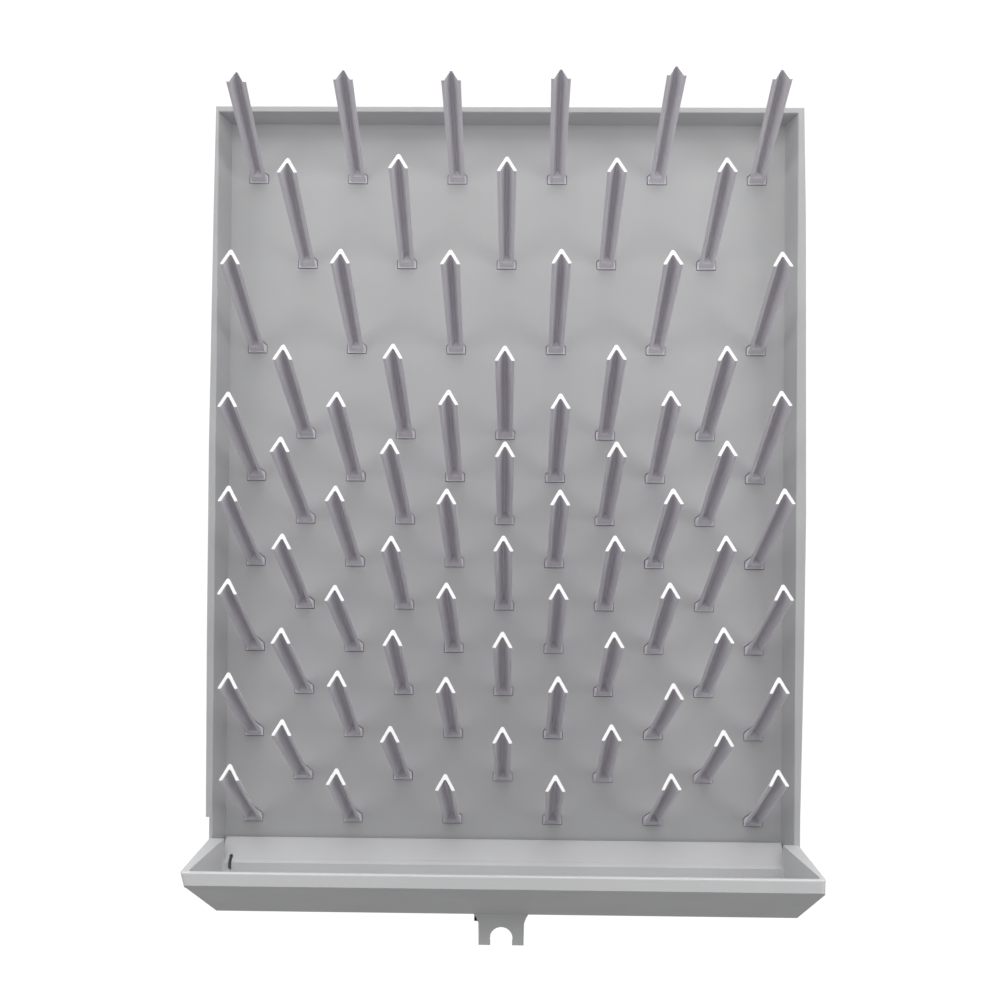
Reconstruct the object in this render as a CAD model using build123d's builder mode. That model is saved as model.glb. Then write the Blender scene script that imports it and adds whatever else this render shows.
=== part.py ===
from build123d import *
import math
import os

# Wall-hung pegboard drying rack with a lift-off drip tray.
# Frame: millimetres, X to the right, the front faces -Y, +Z up.
# Origin: centre of the rear wall pad, on the wall plane, level with the
# lower edge of the top row of peg slots.

os.makedirs("parts", exist_ok=True)

# ---------------------------------------------------------------- dimensions
# board
DEPTH = 110.0           # wall plane to the front of the tray lip
BACK = 16.0             # wall plane to the board's face
PLATE = 3.0             # thickness of the peg-bearing panel
RIM = 19.0              # how far the rim stands proud of the face
# outline over the rim: the long sides bow out a little, the top is drawn in
LEFT_EDGE = [(-218.6, 52.8), (-219.9, -30.0), (-221.8, -204.0), (-222.0, -353.0), (-221.2, -545.0)]
RIGHT_EDGE = [(221.1, 52.8), (222.8, -30.0), (224.3, -250.0), (223.4, -353.0), (221.3, -474.0), (221.0, -545.0)]
TOP = 52.8              # top edge above the top row
BOTTOM = -545.0         # bottom edge, behind the tray
WALL = 2.6              # moulded wall thickness
HOLLOW_HALF = 215.5     # half width of the hollow behind the panel
FACE_EDGES = (-211.3, 211.7, 45.7)  # left, right and top of the face
LIP_EDGES = (-216.4, 216.6, 48.6)   # the same at the rim's front

# peg grid
PITCH_X = 76.0          # between pegs of one row
PITCH_Z = 32.5          # half pitch of the staggered rows
ROW_STEPS = [0, 2, 4, 6, 7, 8, 9, 10, 11, 12, 13, 14, 15]
SINGLE_ROWS = 8         # rows whose pegs are separate nodes

# slot: a house-shaped hole
SLOT_HALF = 7.35
SLOT_SIDE = 6.4
SLOT_APEX = 11.9
COLLAR = 1.5            # collar behind the panel that closes the slot's edge
COLLAR_HOLE = (6.35, 1.0, 5.9, 10.7)  # half width, low, side, apex

# peg
PEG_SLOPE = 30.1        # rise of the peg from the horizontal, degrees
PEG_REACH = 84.2        # face to the top of the tip
PEG_APEX = 12.4         # height of the peg's ridge at the face
PEG_HALF = (6.2, 7.2)   # half width over the legs, at the face and at the tip
PEG_HEIGHT = (9.7, 12.3)  # section height square to the ridge, same places
PEG_SKIN = 2.1          # wall of the inverted V
PEG_TIP_TILT = 15.0     # the end face leans back by this much
PEG_WEB = 5.0           # the V is solid this far out from the face
PLUG = (6.95, 0.45, 6.0, 11.3)  # half width, low, side, apex
PLUG_STEP = 2.2         # the full plug section ends this far behind the face
NOSE = (5.9, 1.45, 5.4, 10.0)
CORE = (4.1, 3.1, 4.6, 7.7)
PLUG_DEPTH = 10.0       # plug length behind the face
PEG_GAP = 0.35          # shoulder stands this far off the face

# drip tray
TRAY_X = 0.55           # the tray hangs a little right of centre
TRAY_HALF = 219.7
TRAY_BACK = 19.4        # rear wall in front of the face
TRAY_LIP = 94.0         # lip in front of the face
TRAY_TOP = -495.2
TRAY_LOW = -548.5
LIP_HIGH = 9.1
SKIN = 2.7
LEDGE_BACK = 3.0        # rear edge of the drip ledge, in front of the face
LEDGE_Z = -498.4
LEDGE_HALF = 210.3
TROUGH_BACK = 22.2      # inner face of the rear wall
TROUGH_HALF_BACK = 207.8
TROUGH_LIP_LEFT = 213.8
TROUGH_LIP_RIGHT = 216.4
LEAN_LEFT = (3.8, 7.0)  # left end drawn in just under the lip and at the bottom
LEAN_DROP = 4.5         # the bend in the left end is this far under the lip's foot
LEAN_RIGHT = 1.5
HOOK_X = 150.0
HOOK_W = 16.0
ARM_LOW, ARM_TOP = -528.0, -522.0
TONGUE_LOW = -537.5
LIFT = 10.0             # lift that frees the hooks
TAB_X = -0.55           # hose tab, from the tray's centre
TAB_LOW = -570.8
NOTCH_Z = -565.9
NOTCH_R = 8.45
SPIGOT_X = -12.6        # drain spigot, from the tray's centre
SPIGOT_Y = 11.5         # drain spigot, in front of the face
SPIGOT_R = 4.0
HOSE_R = 3.8            # free end of the spigot, for the hose
HOSE_Z = -556.9         # where the free end starts
SPIGOT_END = -569.5

# hangers
HANGER_X = 152.0
KEYHOLE_R = 4.5
KEYSLOT_HALF = 2.3

FACE_Y = -BACK


def fy(t):
    """Y of a point t millimetres in front of the board's face."""
    return FACE_Y - t


def front(y):
    """Drawing plane parallel to the board, seen from the front."""
    return Plane(origin=(0, y, 0), x_dir=(1, 0, 0), z_dir=(0, -1, 0))


def house(half, low, side_high, apex, up=0.0):
    """House-shaped outline: flat sill, upright sides, pitched top."""
    return [(-half, low + up), (half, low + up), (half, side_high + up), (0, apex + up), (-half, side_high + up)]


def cols(row):
    """X of each slot in a row: odd rows hold six, even rows five."""
    if row % 2:
        return [(c - 2.5) * PITCH_X for c in range(6)]
    return [(c - 2.0) * PITCH_X for c in range(5)]


def row_z(row):
    return -PITCH_Z * ROW_STEPS[row - 1]


SLOTS = [(x, row_z(r)) for r in range(1, 14) for x in cols(r)]

# Each peg rests in its clearance a little differently: (turn, tilt) in
# degrees, about the middle of its slot.
SKEW = [
    [(2.7, -3.2), (1.0, -1.9), (-0.1, -2.2), (-0.5, -1.2), (1.7, 0.8), (-1.0, -1.2)],
    [(1.0, -1.2), (1.2, 1.3), (0.4, 0.0), (0.1, -0.3), (-0.3, -0.1)],
    [(0.4, 0.1), (0.2, 0.8), (0.1, 0.6), (0.4, 1.3), (0.7, 1.0), (-0.1, 0.3)],
    [(-0.4, -0.2), (-0.6, 0.6), (0.1, -0.1), (0.5, 0.7), (0.3, 0.5)],
    [(-0.2, -0.3), (-0.9, 0.0), (-0.3, 1.3), (0.4, -0.2), (0.2, 1.5), (0.1, 1.8)],
    [(-1.4, 0.9), (-1.5, 0.3), (0.5, -0.7), (0.8, -0.4), (0.6, 0.4)],
    [(0.4, -0.2), (-1.2, 0.2), (-0.7, -0.8), (0.5, -0.9), (1.5, 0.0), (1.6, 0.4)],
    [(-0.1, -0.3), (-0.6, -0.9), (0.1, -0.4), (0.4, 0.0), (0.4, 0.4)],
    [(0.4, 0.5), (-0.8, -1.9), (-0.5, -0.5), (0.1, -0.5), (0.3, 0.4), (1.1, -0.1)],
    [(-0.1, -0.1), (0.5, -0.6), (0.0, -1.0), (0.3, -0.6), (-0.3, 1.8)],
    [(1.0, 0.7), (0.3, 2.0), (-0.4, -0.2), (0.2, 0.4), (2.0, -2.0), (-0.5, 0.9)],
    [(0.5, 1.1), (-0.3, -1.2), (0.3, -1.1), (-0.6, 0.4), (-0.4, -1.4)],
    [(1.9, 1.9), (0.4, 0.6), (-0.3, -1.2), (-0.7, -1.1), (1.4, 0.0), (-0.4, 2.0)],
]

# ---------------------------------------------------------------- backboard
mid_z = (TOP + BOTTOM) / 2
window_low, window_top = ARM_LOW - 0.2, ARM_TOP + LIFT + 1.0

with BuildPart() as backboard:
    # outer block, wall plane to the rim's front
    with BuildSketch(front(0)) as outline:
        Polygon(*LEFT_EDGE, *RIGHT_EDGE[::-1], align=None)
    extrude(amount=BACK + RIM)
    # the recess in front of the face, drafted, open at the bottom edge
    for y, (x0, x1, z1) in ((FACE_Y, FACE_EDGES), (FACE_Y - RIM, LIP_EDGES)):
        with BuildSketch(front(y)):
            Polygon((x0, BOTTOM - 60), (x1, BOTTOM - 60), (x1, z1), (x0, z1), align=None)
    loft(ruled=True, mode=Mode.SUBTRACT)
    # soften the rim's front edges
    fillet(
        backboard.edges().filter_by(GeomType.LINE).filter_by_position(Axis.Y, -BACK - RIM - 0.1, -BACK - RIM + 0.1),
        0.7,
    )
    # hollow behind the panel
    with BuildSketch(front(0)) as hollow:
        with Locations((0, mid_z)):
            RectangleRounded(2 * HOLLOW_HALF, TOP - BOTTOM - 2 * WALL, 1.5)
    extrude(amount=BACK - PLATE, mode=Mode.SUBTRACT)
    # stiffening ribs between the slots
    with BuildSketch(front(-4.0)) as ribs:
        for z in (22 + row_z(2), 22 + row_z(4) - PITCH_Z, -PITCH_Z * 8 + 22,
                  -PITCH_Z * 10 + 22, -PITCH_Z * 12 + 22, -PITCH_Z * 14 + 22):
            with Locations((0, z)):
                Rectangle(2 * (HOLLOW_HALF + 1), 2.0)
        for x in (-95, -19, 19, 95):
            with Locations((x, mid_z)):
                Rectangle(2.0, TOP - BOTTOM - 2)
    extrude(amount=BACK - PLATE - 4.0 + 0.5)
    # wall pad in the middle of the top, on the wall plane
    with BuildSketch(front(0)) as pad:
        RectangleRounded(44, 26, 3)
    extrude(amount=BACK - PLATE + 0.5)
    # clear pockets round the hanger plates, then their screw posts
    with BuildSketch(front(0)) as posts:
        for side in (-1, 1):
            with Locations((side * HANGER_X, 21), (side * HANGER_X, -25)):
                Circle(5.0)
    extrude_from = -4.05
    with BuildSketch(front(extrude_from)) as post_bodies:
        for side in (-1, 1):
            with Locations((side * HANGER_X, 21), (side * HANGER_X, -25)):
                Circle(5.0)
    extrude(amount=BACK - PLATE + extrude_from + 0.5)
    with BuildSketch(front(0)) as post_tops:
        for side in (-1, 1):
            with Locations((side * HANGER_X, 21), (side * HANGER_X, -25)):
                Circle(5.4)
    extrude(amount=4.05, mode=Mode.SUBTRACT)
    # pilot holes for the hanger screws
    with BuildSketch(front(-4.05)) as pilots:
        for side in (-1, 1):
            with Locations((side * HANGER_X, 21), (side * HANGER_X, -25)):
                Circle(1.55)
    extrude(amount=8.5, mode=Mode.SUBTRACT)
    # collars behind the slots
    with BuildSketch(front(-(BACK - PLATE) + COLLAR)):
        with Locations(*SLOTS):
            Polygon(*house(SLOT_HALF + 1.6, -1.6, SLOT_SIDE + 0.9, SLOT_APEX + 2.2), align=None)
    extrude(amount=COLLAR + 0.5)
    with BuildSketch(front(-(BACK - PLATE) + COLLAR + 0.5)):
        with Locations(*SLOTS):
            Polygon(*house(*COLLAR_HOLE), align=None)
    extrude(amount=COLLAR + 0.5 + PLATE, mode=Mode.SUBTRACT)
    # peg slots
    with BuildSketch(front(-(BACK - PLATE))) as slots:
        with Locations(*SLOTS):
            Polygon(*house(SLOT_HALF, 0, SLOT_SIDE, SLOT_APEX), align=None)
    extrude(amount=PLATE + 0.6, mode=Mode.SUBTRACT)
    # windows for the tray's hooks
    with BuildSketch(front(-(BACK - PLATE) + 0.6)) as windows:
        with Locations((-HOOK_X, (window_low + window_top) / 2), (HOOK_X, (window_low + window_top) / 2)):
            RectangleRounded(HOOK_W + 10, window_top - window_low, 1.0)
    extrude(amount=PLATE + 1.2, mode=Mode.SUBTRACT)
    # finger relief at the foot of the left rim, beside the tray
    with BuildSketch(front(fy(4))) as relief:
        with Locations((-228.8, (-479.5 + BOTTOM - 10) / 2)):
            Rectangle(20.0, 545 + 10 - 479.5)
    extrude(amount=RIM, mode=Mode.SUBTRACT)
backboard.part.label = "backboard"
export_step(backboard.part, "parts/backboard.step")

# ---------------------------------------------------------------- pegs


def master_peg():
    """One inverted-V peg with its plug. X right, Y up, Z out of the board,
    origin in the middle of the slot on the board's face."""
    s = math.radians(PEG_SLOPE)
    q = math.radians(PEG_TIP_TILT)
    ridge = Vector(0, math.sin(s), math.cos(s))
    start = Vector(0, PEG_APEX - 6.0, 0)
    full = PEG_REACH / math.cos(s)

    def section(d):
        k = d / full
        half = PEG_HALF[0] + (PEG_HALF[1] - PEG_HALF[0]) * k
        high = PEG_HEIGHT[0] + (PEG_HEIGHT[1] - PEG_HEIGHT[0]) * k
        return Plane(origin=start + ridge * d, x_dir=(1, 0, 0), z_dir=ridge), half, high

    base = Plane(origin=(0, 0, PEG_GAP), x_dir=(1, 0, 0), z_dir=(0, 0, 1))
    rear = Plane(origin=(0, 0, -PLUG_DEPTH), x_dir=(1, 0, 0), z_dir=(0, 0, 1))
    web = Plane(origin=(0, 0, PEG_WEB), x_dir=(1, 0, 0), z_dir=(0, 0, 1))
    tip = Plane(
        origin=start + Vector(0, PEG_REACH * math.tan(s), PEG_REACH),
        x_dir=(1, 0, 0), z_dir=Vector(0, math.sin(q), math.cos(q)),
    )
    with BuildPart() as channel:
        # the hollow under the ridge starts beyond the solid web
        for d in (-14.0, 130.0):
            plane, half, high = section(d)
            angle = math.atan2(half, high)
            in_x, in_y = half - PEG_SKIN / math.cos(angle), PEG_SKIN / math.sin(angle)
            reach = in_x * (high + 3 - in_y) / (high - in_y)
            with BuildSketch(plane) as vee_in:
                Polygon((-reach, -high - 3), (reach, -high - 3), (0, -in_y), align=None)
                fillet(vee_in.vertices().group_by(Axis.Y)[-1], 1.0)
        loft(ruled=True)
        split(bisect_by=web, keep=Keep.TOP)
    with BuildPart() as peg:
        # inverted V, rounded along its ridge and its two lower edges
        for d in (-12.0, 125.0):
            plane, half, high = section(d)
            with BuildSketch(plane) as vee:
                Polygon((-half, -high), (half, -high), (0, 0), align=None)
                fillet(vee.vertices().group_by(Axis.Y)[-1], 1.5)
                fillet(vee.vertices().filter_by(lambda v: abs(v.Y + high) < 1e-6), 0.5)
        loft(ruled=True)
        split(bisect_by=base, keep=Keep.TOP)
        split(bisect_by=tip, keep=Keep.BOTTOM)
        add(channel.part, mode=Mode.SUBTRACT)
        # plug that fills the slot, stepped down to pass the collar, cored from behind
        with BuildSketch(base):
            Polygon(*house(*PLUG, up=-6.0), align=None)
        extrude(amount=-(PEG_GAP + PLUG_STEP))
        with BuildSketch(rear):
            Polygon(*house(*NOSE, up=-6.0), align=None)
        extrude(amount=PLUG_DEPTH - 2.0)
        with BuildSketch(rear):
            Polygon(*house(*CORE, up=-6.0), align=None)
        extrude(amount=PLUG_DEPTH - 1.8, mode=Mode.SUBTRACT)
    return peg.part


MASTER = master_peg()


def make_peg(x, z, turn, tilt):
    """The peg about the middle of its slot, turned and tilted."""
    a, b = math.radians(turn), math.radians(tilt)
    right = Vector(math.cos(a), math.sin(a), 0)
    fwd = Vector(math.sin(a), -math.cos(a), 0) * math.cos(b) + Vector(0, 0, 1) * math.sin(b)
    place = Plane(origin=(x, FACE_Y, z + 6.0), x_dir=right, z_dir=fwd)
    return MASTER.moved(place.location), fwd


joint_lines = []
for row in range(1, 14):
    placed = []
    for col, (x, skew) in enumerate(zip(cols(row), SKEW[row - 1]), start=1):
        piece, fwd = make_peg(x, row_z(row), *skew)
        if row <= SINGLE_ROWS:
            name = f"peg_r{row:02d}_c{col}"
            piece.label = name
            export_step(piece, f"parts/{name}.step")
            joint_lines.append((name, round(fwd.X, 5), round(fwd.Y, 5), round(fwd.Z, 5)))
        else:
            placed.append(piece)
    if placed:
        name = f"pegs_row_{row:02d}"
        group = Compound(children=placed)
        group.label = name
        export_step(group, f"parts/{name}.step")

# ---------------------------------------------------------------- drip tray


def side(x=0.0):
    """Drawing plane seen from the side: first axis +Y, second axis +Z."""
    return Plane(origin=(x, 0, 0), x_dir=(0, 1, 0), z_dir=(1, 0, 0))


def tz(t, z):
    return (fy(t), z)


# inner line of the sloping front panel
run, drop = TRAY_LIP - (TRAY_BACK + 1.6), (TRAY_TOP - 1.0 - LIP_HIGH) - TRAY_LOW
length = math.hypot(run, drop)
in_t, in_z = -SKIN * drop / length, SKIN * run / length
lip_low = TRAY_TOP - 1.0 - LIP_HIGH


def inner_z(t):
    return lip_low + in_z + (t - (TRAY_LIP + in_t)) * drop / run


with BuildPart() as tray_cavity:
    # trough, narrower at the back than at the lip
    with BuildSketch(Plane.XY.offset(-470)) as plan:
        Polygon(
            (TRAY_X - TROUGH_HALF_BACK, fy(TROUGH_BACK)), (TRAY_X + TROUGH_HALF_BACK, fy(TROUGH_BACK)),
            (TRAY_X + TROUGH_LIP_RIGHT, fy(TRAY_LIP - SKIN)), (TRAY_X - TROUGH_LIP_LEFT, fy(TRAY_LIP - SKIN)),
            align=None,
        )
        fillet(plan.vertices(), 3.0)
    extrude(amount=-100)
    with BuildSketch(side()) as trough:
        Polygon(
            tz(TROUGH_BACK - 1, -470), tz(TRAY_LIP - SKIN + 1, -470), tz(TRAY_LIP - SKIN + 1, inner_z(TRAY_LIP - SKIN + 1)),
            tz(TROUGH_BACK, inner_z(TROUGH_BACK)), tz(TROUGH_BACK - 1, inner_z(TROUGH_BACK)), align=None,
        )
    extrude(amount=240, both=True, mode=Mode.INTERSECT)

with BuildPart() as drip_tray:
    # outer body
    with BuildSketch(side(TRAY_X)) as body:
        Polygon(
            tz(TRAY_BACK, TRAY_TOP), tz(TRAY_LIP, TRAY_TOP - 1.0), tz(TRAY_LIP, lip_low),
            tz(TRAY_BACK + 1.6, TRAY_LOW), tz(TRAY_BACK, TRAY_LOW), align=None,
        )
    extrude(amount=TRAY_HALF, both=True)
    # end walls lean in a little towards the bottom
    with BuildSketch(front(fy(0))) as ends:
        Polygon(
            (TRAY_X - TRAY_HALF, TRAY_TOP), (TRAY_X + TRAY_HALF, TRAY_TOP), (TRAY_X + TRAY_HALF - LEAN_RIGHT, TRAY_LOW),
            (TRAY_X - TRAY_HALF + LEAN_LEFT[1], TRAY_LOW), (TRAY_X - TRAY_HALF + LEAN_LEFT[0], lip_low - LEAN_DROP), align=None,
        )
    extrude(amount=TRAY_LIP + 10, mode=Mode.INTERSECT)
    # rounded corners at the two ends of the lip, then the lip's own edges
    fillet(drip_tray.edges().filter_by(lambda e: abs(e.center().Y - fy(TRAY_LIP)) < 0.2 and abs(abs(e.center().X - TRAY_X) - TRAY_HALF) < 2.0), 4.0)
    fillet(drip_tray.edges().filter_by(lambda e: abs(e.center().Y - fy(TRAY_LIP)) < 0.2 and abs(e.center().X - TRAY_X) < 1.0), 1.2)
    add(tray_cavity.part, mode=Mode.SUBTRACT)
    # rear wall is cut down to the front edge of the ledge
    with BuildSketch(side(TRAY_X)) as rear_gap:
        Polygon(
            tz(TRAY_BACK - 1, TRAY_TOP + 5), tz(TROUGH_BACK + 3.5, TRAY_TOP + 5), tz(TROUGH_BACK + 3.5, -512.1), tz(TROUGH_BACK, -512.1),
            tz(TRAY_BACK - 1, -509.0), align=None,
        )
    extrude(amount=TROUGH_HALF_BACK, both=True, mode=Mode.SUBTRACT)
    # drip ledge reaching back between the rims to the board's face
    with BuildSketch(side(TRAY_X)) as ledge:
        Polygon(
            tz(LEDGE_BACK, LEDGE_Z), tz(TROUGH_BACK, -512.1), tz(TROUGH_BACK, -516.7), tz(TRAY_BACK, -514.7),
            tz(LEDGE_BACK, LEDGE_Z - 3.0), align=None,
        )
        fillet(ledge.vertices().group_by(Axis.Y)[-1], 0.7)
    extrude(amount=TROUGH_HALF_BACK + 1.0, both=True)
    with BuildSketch(side(TRAY_X)) as ledge_ends:
        Polygon(
            tz(LEDGE_BACK, LEDGE_Z), tz(TRAY_BACK, -510.1), tz(TRAY_BACK, -514.7), tz(LEDGE_BACK, LEDGE_Z - 3.0), align=None,
        )
    extrude(amount=LEDGE_HALF, both=True)
    # narrow locating slit near the left end
    with BuildSketch(front(fy(8))) as slit:
        with Locations((TRAY_X - 203.0, -512.8)):
            SlotOverall(10.0, 2.6, rotation=90)
    extrude(amount=TROUGH_BACK - 8 + 2, mode=Mode.SUBTRACT)
    # two hooks: arms through the board's windows, tongues behind the panel
    for sx in (-1, 1):
        with BuildSketch(side(TRAY_X + sx * HOOK_X)) as hook:
            Polygon(
                tz(TRAY_BACK + 1, ARM_LOW), tz(-PLATE - 0.6, ARM_LOW), tz(-PLATE - 0.6, TONGUE_LOW + 1.2),
                tz(-PLATE - 1.4, TONGUE_LOW), tz(-PLATE - 3.2, TONGUE_LOW), tz(-PLATE - 3.2, ARM_TOP),
                tz(TRAY_BACK + 1, ARM_TOP), align=None,
            )
        extrude(amount=HOOK_W / 2, both=True)
        # gusset under each arm
        with BuildSketch(side(TRAY_X + sx * HOOK_X)) as gusset:
            Polygon(tz(TRAY_BACK + 1, ARM_LOW + 1), tz(TRAY_BACK + 1, ARM_LOW - 14), tz(TRAY_BACK, ARM_LOW - 14), tz(5, ARM_LOW), tz(5, ARM_LOW + 1), align=None)
        extrude(amount=1.5, both=True)
    # sump behind the rear wall, with the drain hole in its floor
    with BuildSketch(Plane.XY.offset(TRAY_LOW)) as sump:
        with Locations((TRAY_X + SPIGOT_X, fy((TRAY_BACK + 3.5) / 2))):
            Rectangle(22, TRAY_BACK - 3.5 + 1.0)
    extrude(amount=26)
    with BuildSketch(Plane.XY.offset(TRAY_LOW + SKIN)) as sump_in:
        with Locations((TRAY_X + SPIGOT_X, fy((TROUGH_BACK + 0.4 + 5.7) / 2))):
            Rectangle(22 - 4.4, TROUGH_BACK + 0.4 - 5.7)
    extrude(amount=21, mode=Mode.SUBTRACT)
    with BuildSketch(Plane.XY.offset(TRAY_LOW - 1)) as drain_hole:
        with Locations((TRAY_X + SPIGOT_X, fy(SPIGOT_Y))):
            Circle(SPIGOT_R + 0.15)
    extrude(amount=SKIN + 2, mode=Mode.SUBTRACT)
    # hose tab under the middle: two legs round an open-bottomed clip
    with BuildSketch(front(fy(TRAY_BACK))) as tab:
        with Locations((TRAY_X + TAB_X, 0)):
            Polygon(
                (-21.0, TRAY_LOW + 1.2), (-18.6, TRAY_LOW - 2.2), (-16.9, TRAY_LOW - 6.2), (-16.7, TAB_LOW), (16.7, TAB_LOW), (16.9, TRAY_LOW - 6.2),
                (18.4, TRAY_LOW - 2.2), (20.4, TRAY_LOW + 1.2), align=None,
            )
        with Locations((TRAY_X + TAB_X, NOTCH_Z)):
            Circle(NOTCH_R, mode=Mode.SUBTRACT)
        with Locations((TRAY_X + TAB_X, NOTCH_Z - 4.4)):
            Rectangle(16.2, 8.8, mode=Mode.SUBTRACT)
    extrude(amount=3.0)
    # trim the tab where it would run into the trough
    with BuildSketch(side(TRAY_X)) as tab_front:
        Polygon(
            tz(TROUGH_BACK, inner_z(TROUGH_BACK)), tz(TROUGH_BACK + 20, inner_z(TROUGH_BACK + 20)), tz(TROUGH_BACK + 20, -520), tz(TROUGH_BACK, -520), align=None,
        )
    extrude(amount=30, both=True, mode=Mode.SUBTRACT)
drip_tray.part.label = "drip_tray"
export_step(drip_tray.part, "parts/drip_tray.step")

# ---------------------------------------------------------------- drain
sx, sy = TRAY_X + SPIGOT_X, fy(SPIGOT_Y)
floor_top = TRAY_LOW + SKIN

# flanged spigot dropped through the sump floor, plain at its free end
with BuildPart() as drain_spigot:
    with BuildSketch(Plane.XY.offset(floor_top)) as flange:
        with Locations((sx, sy)):
            Circle(5.6)
    extrude(amount=1.2)
    with BuildSketch(Plane.XY.offset(floor_top + 0.2)) as stem:
        with Locations((sx, sy)):
            Circle(SPIGOT_R)
    extrude(amount=HOSE_Z - floor_top - 0.2)
    with BuildSketch(Plane.XY.offset(HOSE_Z)) as hose_end:
        with Locations((sx, sy)):
            Circle(HOSE_R)
    extrude(amount=SPIGOT_END - HOSE_Z)
    fillet(drain_spigot.edges().sort_by(Axis.Z)[0], 0.8)
    with BuildSketch(Plane.XY.offset(floor_top + 3)) as bore:
        with Locations((sx, sy)):
            Circle(2.3)
    extrude(amount=-40, mode=Mode.SUBTRACT)
drain_spigot.part.label = "drain_spigot"
export_step(drain_spigot.part, "parts/drain_spigot.step")

# rubber ring under the sump floor
with BuildPart() as drain_seal:
    with BuildSketch(Plane.XY.offset(TRAY_LOW)) as ring:
        with Locations((sx, sy)):
            Circle(6.6)
            Circle(SPIGOT_R + 0.05, mode=Mode.SUBTRACT)
    extrude(amount=-1.5)
drain_seal.part.label = "drain_seal"
export_step(drain_seal.part, "parts/drain_seal.step")

# nut that pulls the flange down
with BuildPart() as drain_nut:
    with BuildSketch(Plane.XY.offset(TRAY_LOW - 1.5)) as nut:
        with Locations((sx, sy)):
            RegularPolygon(radius=7.4, side_count=6)
            Circle(SPIGOT_R + 0.05, mode=Mode.SUBTRACT)
    extrude(amount=-2.4)
    chamfer(drain_nut.faces().sort_by(Axis.Z)[0].outer_wire().edges(), 0.4)
drain_nut.part.label = "drain_nut"
export_step(drain_nut.part, "parts/drain_nut.step")

# spring-band hose clip parked on the spigot, its ears towards the left
clip_z = TRAY_LOW - 8.0
with BuildPart() as hose_clip:
    with BuildSketch(Plane.XY.offset(clip_z)) as band:
        with Locations((sx, sy)):
            Circle(5.1)
            Circle(4.2, mode=Mode.SUBTRACT)
            with Locations((-5, 0)):
                Rectangle(5, 1.6, mode=Mode.SUBTRACT)
    extrude(amount=3.8)
    for s2 in (-1, 1):
        with BuildSketch(Plane.XY.offset(clip_z)) as ear:
            with Locations((sx - 6.3, sy + s2 * 1.35)):
                Rectangle(4.0, 0.9)
        extrude(amount=3.8)
hose_clip.part.label = "hose_clip"
export_step(hose_clip.part, "parts/hose_clip.step")

# ---------------------------------------------------------------- hangers
for label, hx in (("hanger_plate_left", -HANGER_X), ("hanger_plate_right", HANGER_X)):
    with BuildPart() as hanger:
        with BuildSketch(front(-2.5)) as plate:
            with Locations((hx, -2)):
                RectangleRounded(24, 62, 4)
            with Locations((hx, 0)):
                Circle(KEYHOLE_R, mode=Mode.SUBTRACT)
            with Locations((hx, 4.6)):
                Rectangle(2 * KEYSLOT_HALF, 9.2, mode=Mode.SUBTRACT)
            with Locations((hx, 9.2)):
                Circle(KEYSLOT_HALF, mode=Mode.SUBTRACT)
            with Locations((hx, 21), (hx, -25)):
                Circle(1.9, mode=Mode.SUBTRACT)
        extrude(amount=1.5)
    hanger.part.label = label
    export_step(hanger.part, f"parts/{label}.step")

# pan-head screws holding the hanger plates
screws = []
for hx in (-HANGER_X, HANGER_X):
    for hz in (21, -25):
        with BuildPart() as screw:
            with BuildSketch(front(-0.6)) as head:
                with Locations((hx, hz)):
                    Circle(3.6)
            extrude(amount=1.9)
            fillet(screw.faces().sort_by(Axis.Y)[-1].edges(), 0.9)
            with BuildSketch(front(-2.0)) as shank:
                with Locations((hx, hz)):
                    Circle(1.5)
            extrude(amount=9.5)
            with BuildSketch(front(-0.5)) as cross:
                with Locations((hx, hz)):
                    Rectangle(3.6, 0.8)
                    Rectangle(0.8, 3.6)
            extrude(amount=1.1, mode=Mode.SUBTRACT)
        screws.append(screw.part)
hanger_screws = Compound(children=screws)
hanger_screws.label = "hanger_screws"
export_step(hanger_screws, "parts/hanger_screws.step")

for line in joint_lines:
    print("axis", *line)
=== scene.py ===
import math

import bpy
from mathutils import Matrix, Vector

# Looks for the pegboard draining rack. Metres, +Z up, the rack faces -Y.
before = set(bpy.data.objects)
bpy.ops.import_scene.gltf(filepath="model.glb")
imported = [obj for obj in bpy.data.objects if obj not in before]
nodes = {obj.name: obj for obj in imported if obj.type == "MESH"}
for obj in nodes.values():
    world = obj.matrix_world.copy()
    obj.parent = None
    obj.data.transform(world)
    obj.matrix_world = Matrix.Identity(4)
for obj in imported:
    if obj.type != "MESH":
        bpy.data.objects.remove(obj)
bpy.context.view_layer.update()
scene = bpy.context.scene


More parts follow.
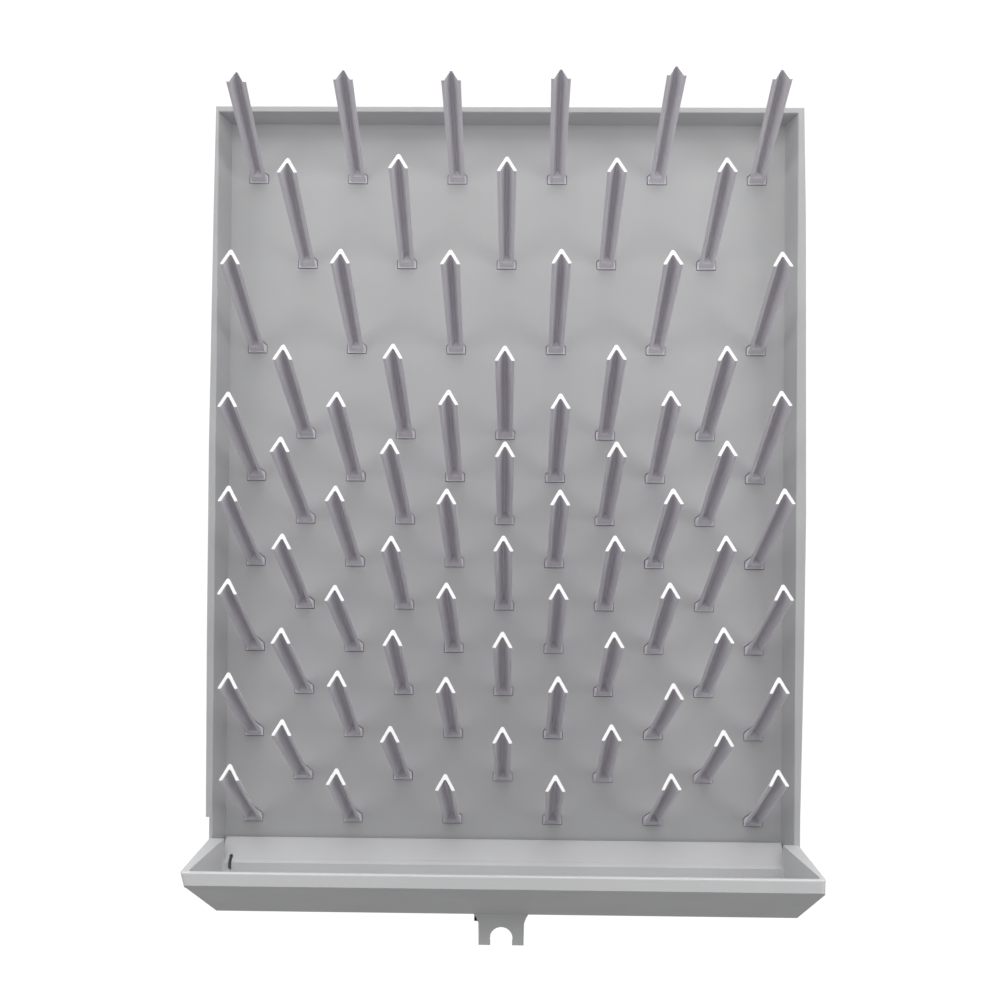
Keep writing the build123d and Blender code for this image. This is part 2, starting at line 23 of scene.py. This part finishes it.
# ------------------------------------------------------------------ materials
class Tree:
    """Small helper for building a node tree."""

    def __init__(self, tree):
        self.tree = tree
        self.x = -1400

    def add(self, kind, **sockets):
        node = self.tree.nodes.new(kind)
        node.location = (self.x, 0)
        self.x += 40
        for key, value in sockets.items():
            if key.startswith("p_"):
                setattr(node, key[2:], value)
        for key, value in sockets.items():
            if not key.startswith("p_"):
                name = int(key[2:]) if key.startswith("i_") else key.replace("_", " ")
                sock = node.inputs[name]
                if isinstance(value, bpy.types.NodeSocket):
                    self.tree.links.new(value, sock)
                else:
                    sock.default_value = value
        return node

    def math(self, op, a, b=None, c=None, clamp=False):
        node = self.tree.nodes.new("ShaderNodeMath")
        node.operation = op
        node.use_clamp = clamp
        for i, v in enumerate((a, b, c)):
            if v is None:
                continue
            if isinstance(v, bpy.types.NodeSocket):
                self.tree.links.new(v, node.inputs[i])
            else:
                node.inputs[i].default_value = v
        return node.outputs[0]

    def noise(self, vector, scale, detail=2.0, rough=0.5):
        node = self.tree.nodes.new("ShaderNodeTexNoise")
        node.inputs["Scale"].default_value = scale
        node.inputs["Detail"].default_value = detail
        node.inputs["Roughness"].default_value = rough
        self.tree.links.new(vector, node.inputs["Vector"])
        return node.outputs["Fac"]

    def spread(self, value, low, high, to_low=0.0, to_high=1.0, smooth=False):
        node = self.tree.nodes.new("ShaderNodeMapRange")
        if smooth:
            node.interpolation_type = "SMOOTHSTEP"
        node.inputs["From Min"].default_value = low
        node.inputs["From Max"].default_value = high
        node.inputs["To Min"].default_value = to_low
        node.inputs["To Max"].default_value = to_high
        self.tree.links.new(value, node.inputs["Value"])
        return node.outputs["Result"]

    def mix(self, fac, a, b):
        node = self.tree.nodes.new("ShaderNodeMix")
        node.data_type = "RGBA"
        node.inputs["Factor"].default_value = 0.5
        if isinstance(fac, bpy.types.NodeSocket):
            self.tree.links.new(fac, node.inputs["Factor"])
        else:
            node.inputs["Factor"].default_value = fac
        for sock, v in ((node.inputs[6], a), (node.inputs[7], b)):
            if isinstance(v, bpy.types.NodeSocket):
                self.tree.links.new(v, sock)
            else:
                sock.default_value = (*v, 1.0)
        return node.outputs[2]


def new_material(name):
    mat = bpy.data.materials.new(name)
    mat.use_nodes = True
    tree = mat.node_tree
    tree.nodes.clear()
    t = Tree(tree)
    out = tree.nodes.new("ShaderNodeOutputMaterial")
    bsdf = tree.nodes.new("ShaderNodeBsdfPrincipled")
    tree.links.new(bsdf.outputs[0], out.inputs["Surface"])
    coord = tree.nodes.new("ShaderNodeTexCoord")
    return mat, t, bsdf, coord.outputs["Object"]


def moulded(name, light, dark, rough, grain, soft_edge, painted_lit_ends=None, streak=0.0):
    """Injection-moulded polystyrene: faint cloudiness, fine satin grain, softened edges."""
    mat, t, bsdf, pos = new_material(name)
    cloud = t.spread(t.noise(pos, 7.0, 3.0), 0.35, 0.65)
    fine = t.spread(t.noise(pos, 160.0, 4.0, 0.6), 0.3, 0.7)
    fac = t.math("ADD", t.math("MULTIPLY", cloud, 0.75), t.math("MULTIPLY", fine, 0.25), clamp=True)
    colour = t.mix(fac, dark, light)
    if streak:
        # faint flow marks drawn out along the height of the moulding
        sep = t.add("ShaderNodeMapping", p_vector_type="POINT", Vector=pos, Scale=(55.0, 55.0, 3.0))
        flow = t.spread(t.noise(sep.outputs[0], 1.0, 3.0), 0.42, 0.72)
        colour = t.mix(t.math("MULTIPLY", flow, streak), colour, tuple(c * 0.86 for c in dark))
    if painted_lit_ends:
        # painted highlight: end faces that look along tip_normal near the tips get a paler base colour in place of
        # the light that makes them bright
        normal, reach, pale = painted_lit_ends
        geo = t.tree.nodes.new("ShaderNodeNewGeometry")
        dot = t.add("ShaderNodeVectorMath", p_operation="DOT_PRODUCT", i_0=geo.outputs["Normal"], i_1=normal)
        facing = t.spread(dot.outputs["Value"], 0.86, 0.97)
        sep = t.add("ShaderNodeSeparateXYZ", Vector=pos)
        far = t.spread(sep.outputs["Y"], reach + 0.004, reach)
        colour = t.mix(t.math("MULTIPLY", facing, far), colour, pale)
    t.tree.links.new(colour, bsdf.inputs["Base Color"])
    r = t.spread(t.noise(pos, 30.0, 3.0), 0.3, 0.7, rough - 0.05, rough + 0.07)
    t.tree.links.new(r, bsdf.inputs["Roughness"])
    bsdf.inputs["IOR"].default_value = 1.55
    bevel = t.add("ShaderNodeBevel", p_samples=4, Radius=soft_edge)
    low = t.noise(pos, 18.0, 2.0)
    high = t.noise(pos, 900.0, 3.0, 0.6)
    wave = t.add("ShaderNodeBump", Strength=0.35, Distance=0.0006, Height=low, Normal=bevel.outputs[0])
    bump = t.add("ShaderNodeBump", Strength=grain, Distance=0.00008, Height=high, Normal=wave.outputs[0])
    t.tree.links.new(bump.outputs[0], bsdf.inputs["Normal"])
    return mat


def steel(name, base, rough):
    """Zinc-plated sheet: brushed streaks and a mottled passivated tint."""
    mat, t, bsdf, pos = new_material(name)
    cells = t.tree.nodes.new("ShaderNodeTexVoronoi")
    cells.inputs["Scale"].default_value = 260.0
    t.tree.links.new(pos, cells.inputs["Vector"])
    spangle = t.spread(cells.outputs["Distance"], 0.0, 0.8)
    cloud = t.spread(t.noise(pos, 60.0, 3.0), 0.3, 0.7)
    fac = t.math("ADD", t.math("MULTIPLY", spangle, 0.5), t.math("MULTIPLY", cloud, 0.5), clamp=True)
    colour = t.mix(fac, tuple(c * 0.82 for c in base), base)
    t.tree.links.new(colour, bsdf.inputs["Base Color"])
    brushed = t.add("ShaderNodeMapping", p_vector_type="POINT", Vector=pos, Scale=(1500.0, 60.0, 60.0))
    lines = t.noise(brushed.outputs[0], 1.0, 4.0)
    r = t.spread(lines, 0.3, 0.7, rough - 0.08, rough + 0.1)
    t.tree.links.new(r, bsdf.inputs["Roughness"])
    bsdf.inputs["Metallic"].default_value = 1.0
    bevel = t.add("ShaderNodeBevel", p_samples=4, Radius=0.0003)
    bump = t.add("ShaderNodeBump", Strength=0.25, Distance=0.00005, Height=lines, Normal=bevel.outputs[0])
    t.tree.links.new(bump.outputs[0], bsdf.inputs["Normal"])
    return mat


def dark_piece(name, light, dark, rough, grain, metallic=0.0):
    """Black rubber or near-black spring steel, scuffed and slightly dusty; on the clip the near-black is partly
    painted shade.
    """
    mat, t, bsdf, pos = new_material(name)
    scuff = t.spread(t.noise(pos, 320.0, 5.0, 0.65), 0.45, 0.75)
    colour = t.mix(scuff, dark, light)
    t.tree.links.new(colour, bsdf.inputs["Base Color"])
    r = t.spread(t.noise(pos, 120.0, 3.0), 0.3, 0.7, rough - 0.08, rough + 0.1)
    t.tree.links.new(r, bsdf.inputs["Roughness"])
    bsdf.inputs["Metallic"].default_value = metallic
    bevel = t.add("ShaderNodeBevel", p_samples=4, Radius=0.0002)
    bump = t.add("ShaderNodeBump", Strength=grain, Distance=0.00006, Height=t.noise(pos, 1400.0, 3.0), Normal=bevel.outputs[0])
    t.tree.links.new(bump.outputs[0], bsdf.inputs["Normal"])
    return mat


tip_normal = (0.0, -math.cos(math.radians(15)), math.sin(math.radians(15)))
board = moulded("board_plastic_look", (0.475, 0.478, 0.482), (0.452, 0.455, 0.461), 0.46, 0.10, 0.0006, streak=0.10)
tray = moulded("tray_plastic_look", (0.585, 0.588, 0.594), (0.557, 0.560, 0.568), 0.42, 0.10, 0.0006, streak=0.06)
# pegs: a paler base colour is painted on the tip end faces as a painted highlight
peg = moulded("peg_plastic_look", (0.645, 0.621, 0.665), (0.616, 0.590, 0.638), 0.34, 0.06, 0.0005,
              painted_lit_ends=(tip_normal, -0.0955, (0.94, 0.94, 0.93)))
fitting = moulded("fitting_plastic_look", (0.42, 0.42, 0.42), (0.36, 0.36, 0.365), 0.40, 0.10, 0.0004)
hanger = steel("hanger_steel_look", (0.62, 0.62, 0.60), 0.36)
seal = dark_piece("seal_rubber_look", (0.055, 0.055, 0.056), (0.018, 0.018, 0.019), 0.68, 0.5)
# hose clip: near-black, partly its own colour and partly painted shade for the dark patch at the left of the drain
# tab
clip = dark_piece("clip_steel_look", (0.075, 0.075, 0.08), (0.018, 0.018, 0.02), 0.38, 0.2, metallic=0.6)

looks = {
    "backboard": board, "drip_tray": tray, "drain_spigot": fitting, "drain_nut": fitting,
    "drain_seal": seal, "hose_clip": clip, "hanger_plate_left": hanger,
    "hanger_plate_right": hanger, "hanger_screws": hanger,
}
for name, obj in nodes.items():
    look = looks.get(name, peg)
    obj.data.materials.clear()
    obj.data.materials.append(look)

# ------------------------------------------------------------------ stage
# pale floor that sweeps up into a backdrop; it turns to lit white behind the rack
profile = []
floor_z, back_y, bend = -1.25, 3.2, 0.8
profile.append((-3.2, floor_z))
profile.append((-1.0, floor_z))
profile.append((1.2, floor_z))
for i in range(13):
    a = math.radians(90 * i / 12)
    profile.append((back_y - bend + bend * math.sin(a), floor_z + bend - bend * math.cos(a)))
profile.append((back_y, 4.5))
verts, faces = [], []
for y, z in profile:
    verts.append((-4.5, y, z))
    verts.append((4.5, y, z))
for i in range(len(profile) - 1):
    faces.append((2 * i, 2 * i + 1, 2 * i + 3, 2 * i + 2))
mesh = bpy.data.meshes.new("floor_sweep")
mesh.from_pydata(verts, [], faces)
mesh.update()
for p in mesh.polygons:
    p.use_smooth = True
floor = bpy.data.objects.new("floor_sweep", mesh)
scene.collection.objects.link(floor)
mat = bpy.data.materials.new("floor_paint")
mat.use_nodes = True
tree = mat.node_tree
tree.nodes.clear()
ft = Tree(tree)
out = tree.nodes.new("ShaderNodeOutputMaterial")
coord = tree.nodes.new("ShaderNodeTexCoord").outputs["Object"]
matt = tree.nodes.new("ShaderNodeBsdfDiffuse")
paper = ft.mix(ft.spread(ft.noise(coord, 3.0, 3.0), 0.3, 0.7), (0.74, 0.74, 0.74), (0.78, 0.78, 0.78))
tree.links.new(paper, matt.inputs["Color"])
glow = tree.nodes.new("ShaderNodeEmission")
glow.inputs["Color"].default_value = (1, 1, 1, 1)
glow.inputs["Strength"].default_value = 1.05
sep = ft.add("ShaderNodeSeparateXYZ", Vector=coord)
behind = ft.spread(sep.outputs["Y"], 0.75, 1.3, smooth=True)
blend = tree.nodes.new("ShaderNodeMixShader")
tree.links.new(behind, blend.inputs[0])
tree.links.new(matt.outputs[0], blend.inputs[1])
tree.links.new(glow.outputs[0], blend.inputs[2])
tree.links.new(blend.outputs[0], out.inputs["Surface"])
mesh.materials.append(mat)
# the surround below stands in for its bounce, so that undersides stay in shade
floor.visible_diffuse = False
floor.visible_glossy = False

# soft surround: bright overhead, dim below the horizon
world = bpy.data.worlds.new("studio")
scene.world = world
world.use_nodes = True
wt = Tree(world.node_tree)
world.node_tree.nodes.clear()
wout = world.node_tree.nodes.new("ShaderNodeOutputWorld")
wbg = world.node_tree.nodes.new("ShaderNodeBackground")
wdir = world.node_tree.nodes.new("ShaderNodeTexCoord").outputs["Generated"]
wsep = wt.add("ShaderNodeSeparateXYZ", Vector=wdir)
above = wt.spread(wsep.outputs["Z"], 0.25, 0.6, 0.0, 1.25, smooth=True)
below = wt.spread(wsep.outputs["Z"], 0.05, -0.3, 0.0, 0.36, smooth=True)
rise = wt.math("ADD", above, below)
world.node_tree.links.new(rise, wbg.inputs["Strength"])
wbg.inputs["Color"].default_value = (1.0, 1.0, 1.0, 1.0)
white = world.node_tree.nodes.new("ShaderNodeBackground")
white.inputs["Color"].default_value = (1.0, 1.0, 1.0, 1.0)
wmix = world.node_tree.nodes.new("ShaderNodeMixShader")
wpath = world.node_tree.nodes.new("ShaderNodeLightPath")
world.node_tree.links.new(wpath.outputs["Is Camera Ray"], wmix.inputs[0])
world.node_tree.links.new(wbg.outputs[0], wmix.inputs[1])
world.node_tree.links.new(white.outputs[0], wmix.inputs[2])
world.node_tree.links.new(wmix.outputs[0], wout.inputs["Surface"])


def area(name, where, aim, size_x, size_y, power, colour=(1, 1, 1)):
    data = bpy.data.lights.new(name, "AREA")
    data.shape = "RECTANGLE"
    data.size, data.size_y = size_x, size_y
    data.energy = power
    data.color = colour
    obj = bpy.data.objects.new(name, data)
    scene.collection.objects.link(obj)
    direction = Vector(aim) - Vector(where)
    obj.matrix_world = Matrix.Translation(where) @ direction.to_track_quat("-Z", "Y").to_matrix().to_4x4()
    return obj


area("overhead_soft", (0.0, -0.95, 1.15), (0.0, -0.05, -0.2), 1.8, 1.1, 8.5)
area("front_top_soft", (0.0, -0.95, 0.22), (0.0, 0.0, 0.02), 1.3, 0.35, 2.3)
area("left_soft", (-1.5, -0.7, -0.25), (0.0, 0.0, -0.25), 0.8, 1.2, 7.6)
area("right_soft", (1.5, -0.7, -0.25), (0.0, 0.0, -0.25), 0.8, 1.2, 10.0)

# ------------------------------------------------------------------ camera
# pose of the eye, in the row frame: position, then small turns about its axes
rx, ry, rz = -0.005981, 0.014144, 0.0076936


def rot(axis, angle):
    return Matrix.Rotation(angle, 3, axis)


turn = rot("Z", rz) @ rot("X", rx) @ rot("Y", ry)
face_on = Matrix(((1, 0, 0), (0, 0, -1), (0, 1, 0)))
to_eye = turn @ face_on
basis = to_eye.transposed() @ Matrix(((1, 0, 0), (0, -1, 0), (0, 0, -1)))
cam_data = bpy.data.cameras.new("camera")
cam_data.sensor_fit = "HORIZONTAL"
cam_data.sensor_width = 36.0
cam_data.lens = 1114.8 * 36.0 / 1000.0
cam_data.clip_start = 0.02
cam_data.clip_end = 30.0
cam = bpy.data.objects.new("camera", cam_data)
scene.collection.objects.link(cam)
cam.matrix_world = Matrix.Translation((0.0084, -0.866, -0.24604)) @ basis.to_4x4()
scene.camera = cam
scene.view_settings.view_transform = "Standard"
